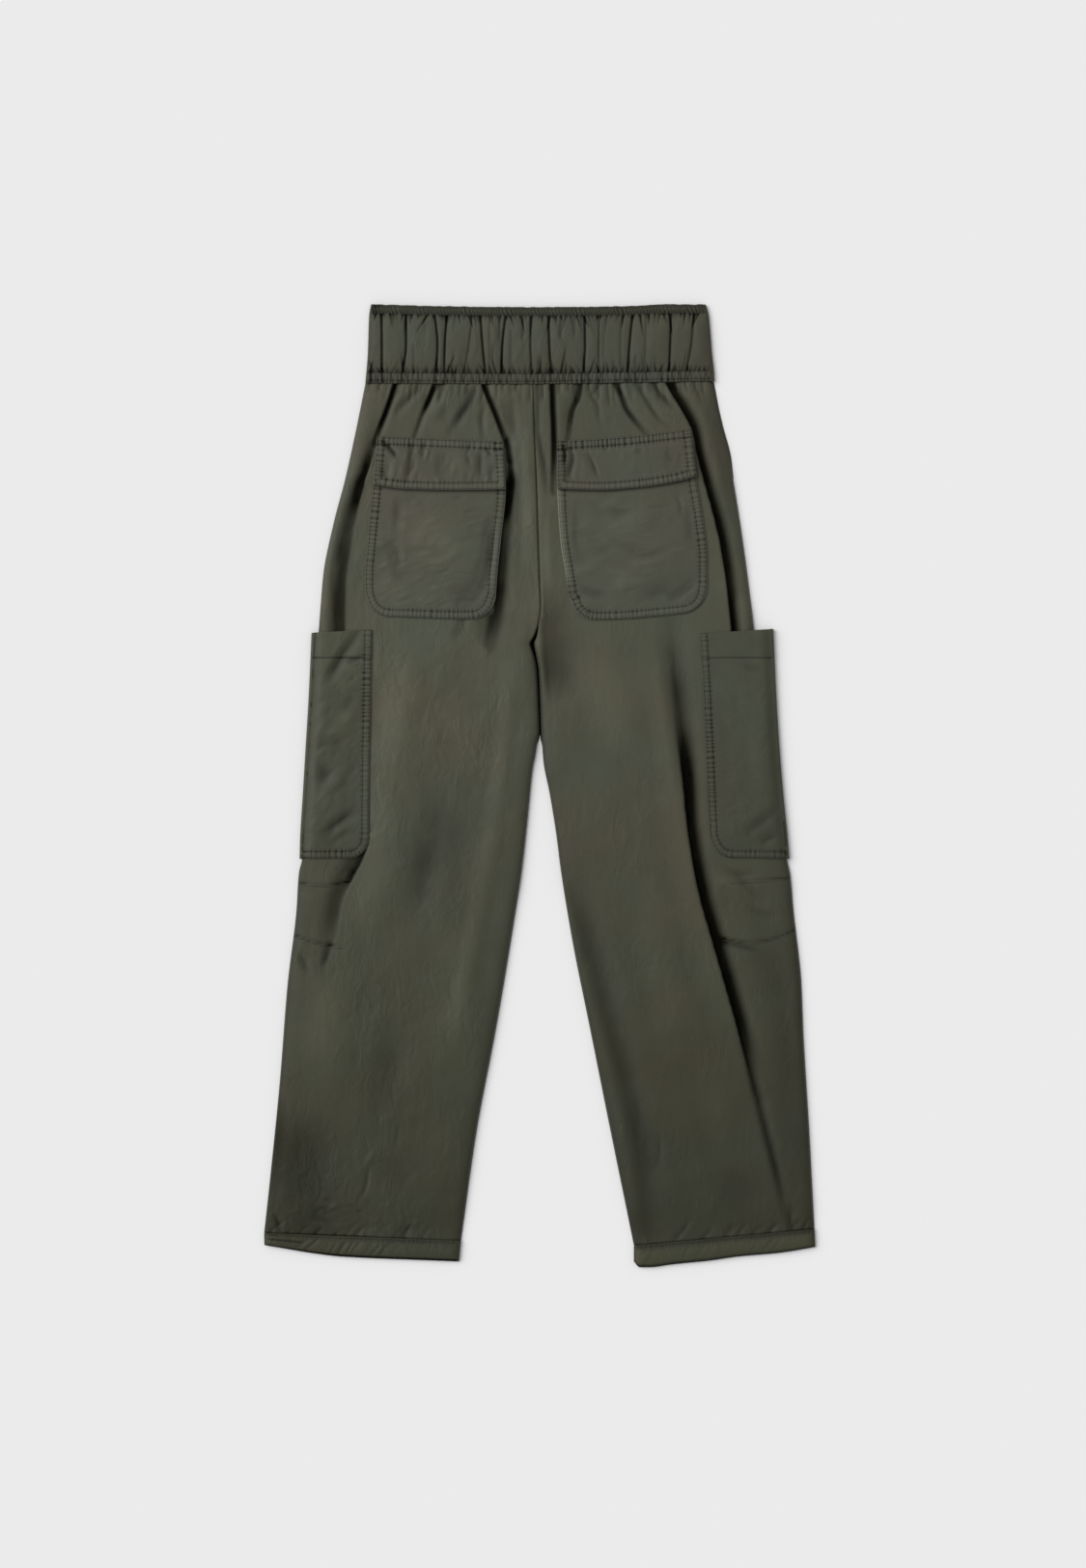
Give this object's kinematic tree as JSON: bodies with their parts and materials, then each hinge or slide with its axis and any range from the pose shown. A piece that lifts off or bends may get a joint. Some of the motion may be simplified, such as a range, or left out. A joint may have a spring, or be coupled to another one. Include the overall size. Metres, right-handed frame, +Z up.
{
  "type": "cargo pants",
  "caption": "Cargo pants laid flat on their front: gathered elastic waist, flapped back pockets, and cargo pockets round the side seams.",
  "frame": {"origin": "middle of the garment's outline, on the surface that it lies on", "axes": "+Y from the hems to the waist, +X to the wearer's right, +Z up out of the surface, towards the garment's back"},
  "size_m": [0.5707, 0.997, 0.0091],
  "materials": {
    "cotton": "matt washed cotton, dark olive",
    "gathered_cotton": "matt washed cotton gathered over elastic, dark olive"
  },
  "bodies": {
    "root": {"back_left": "cotton", "back_right": "cotton", "front_left": "cotton", "front_right": "cotton", "pocket_left": "cotton", "pocket_right": "cotton", "flap_left": "cotton", "flap_right": "cotton", "cargo_left": "cotton", "cargo_right": "cotton", "hem_left": "cotton", "hem_right": "cotton", "waistband": "gathered_cotton"}
  },
  "joints": []
}
